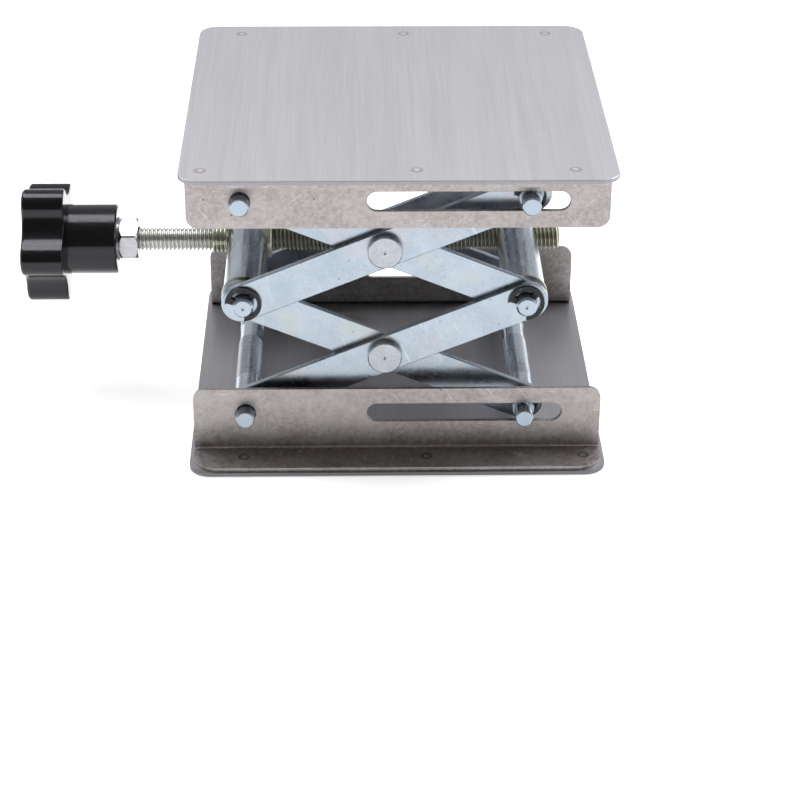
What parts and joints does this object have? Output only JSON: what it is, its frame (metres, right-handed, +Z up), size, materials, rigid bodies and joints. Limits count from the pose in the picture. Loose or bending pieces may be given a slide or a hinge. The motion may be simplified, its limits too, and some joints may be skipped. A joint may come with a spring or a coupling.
{
  "type": "lab jack",
  "caption": "Scissor lifting platform: two square steel plates on slotted rails, crossed flat arms, and a star knob on a lead screw that raises the top.",
  "frame": {"origin": "centre of the base plate's underside", "axes": "+Z up through the platform, +X along the lead screw away from the knob, +Y towards the back"},
  "size_m": [0.1418, 0.1, 0.0772],
  "materials": {
    "stainless_plate": "fine brushed sheet",
    "stainless_rail": "mill finish sheet with handling marks",
    "black_spring_steel": "blackened spring steel",
    "zinc_plated_arm": "blue-bright zinc plate",
    "zinc_plated_rivet": "dull zinc plate",
    "zinc_washer": "yellowish zinc plate",
    "zinc_plated_bar": "turned and zinc plated",
    "yellow_zinc_thread": "rolled thread, olive zinc plate",
    "bright_zinc": "bright zinc plate",
    "black_phenolic": "polished black moulding"
  },
  "bodies": {
    "base": {"base_plate": "stainless_plate", "base_rail_front": "stainless_rail", "base_rail_back": "stainless_rail", "base_left_shaft": "zinc_plated_bar", "base_left_clips": "black_spring_steel"},
    "lower_outer": {"lower_outer_arm_front": "zinc_plated_arm", "lower_outer_arm_back": "zinc_plated_arm", "lower_rivets": "zinc_plated_rivet"},
    "lower_inner": {"lower_inner_arm_front": "zinc_plated_arm", "lower_inner_arm_back": "zinc_plated_arm", "base_slide_shaft": "zinc_plated_bar", "base_slide_clips": "black_spring_steel"},
    "right_trunnion_body": {"right_trunnion": "zinc_plated_bar", "right_mid_washers": "zinc_washer", "right_mid_clips": "black_spring_steel"},
    "upper_inner": {"upper_inner_arm_front": "zinc_plated_arm", "upper_inner_arm_back": "zinc_plated_arm"},
    "platform": {"platform_plate": "stainless_plate", "platform_rail_front": "stainless_rail", "platform_rail_back": "stainless_rail", "platform_left_shaft": "zinc_plated_bar", "platform_left_clips": "black_spring_steel"},
    "left_trunnion_body": {"left_trunnion": "zinc_plated_bar", "left_mid_washers": "zinc_washer", "left_mid_clips": "black_spring_steel"},
    "upper_outer": {"upper_outer_arm_front": "zinc_plated_arm", "upper_outer_arm_back": "zinc_plated_arm", "upper_rivets": "zinc_plated_rivet", "platform_slide_shaft": "zinc_plated_bar", "platform_slide_clips": "black_spring_steel"},
    "screw": {"lead_screw": "yellow_zinc_thread", "stop_collar": "yellow_zinc_thread", "thrust_collar": "yellow_zinc_thread", "jam_nut": "bright_zinc", "knob": "black_phenolic", "knob_insert": "bright_zinc"}
  },
  "joints": [
    {"name": "lift", "type": "hinge", "parent": "base", "child": "lower_outer", "pos_m": [-0.0365, 0, 0.0115], "axis": [0, -1, 0], "range_deg": [-13.2, 39.4]},
    {"name": "lower_crossing", "type": "hinge", "parent": "lower_outer", "child": "lower_inner", "pos_m": [-0.00299, 0, 0.02545], "axis": [0, -1, 0], "range_deg": [-78.8, 26.4]},
    {"name": "right_mid_pivot", "type": "hinge", "parent": "lower_outer", "child": "right_trunnion_body", "pos_m": [0.03053, 0, 0.0394], "axis": [0, -1, 0], "range_deg": [-39.4, 13.2]},
    {"name": "upper_inner_pivot", "type": "hinge", "parent": "right_trunnion_body", "child": "upper_inner", "pos_m": [0.03053, 0, 0.0394], "axis": [0, -1, 0], "range_deg": [-39.4, 13.2]},
    {"name": "platform_pivot", "type": "hinge", "parent": "upper_inner", "child": "platform", "pos_m": [-0.0365, 0, 0.0673], "axis": [0, -1, 0], "range_deg": [-13.2, 39.4]},
    {"name": "left_mid_pivot", "type": "hinge", "parent": "lower_inner", "child": "left_trunnion_body", "pos_m": [-0.0365, 0, 0.0394], "axis": [0, -1, 0], "range_deg": [-13.2, 39.4]},
    {"name": "upper_outer_pivot", "type": "hinge", "parent": "left_trunnion_body", "child": "upper_outer", "pos_m": [-0.0365, 0, 0.0394], "axis": [0, -1, 0], "range_deg": [-13.2, 39.4]},
    {"name": "knob_turn", "type": "hinge", "parent": "left_trunnion_body", "child": "screw", "pos_m": [-0.0365, 0, 0.0394], "axis": [1, 0, 0], "range_deg": [-3388.44, 10113.98]}
  ],
  "couplings": [
    {"joint": "lower_crossing", "follows": "lift", "ratio": -2},
    {"joint": "right_mid_pivot", "follows": "lift", "ratio": -1},
    {"joint": "upper_inner_pivot", "follows": "lift", "ratio": -1},
    {"joint": "platform_pivot", "follows": "lift", "ratio": 1},
    {"joint": "left_mid_pivot", "follows": "lift", "ratio": 1},
    {"joint": "upper_outer_pivot", "follows": "lift", "ratio": 1},
    {"joint": "knob_turn", "follows": "lift", "ratio": 256.7}
  ]
}
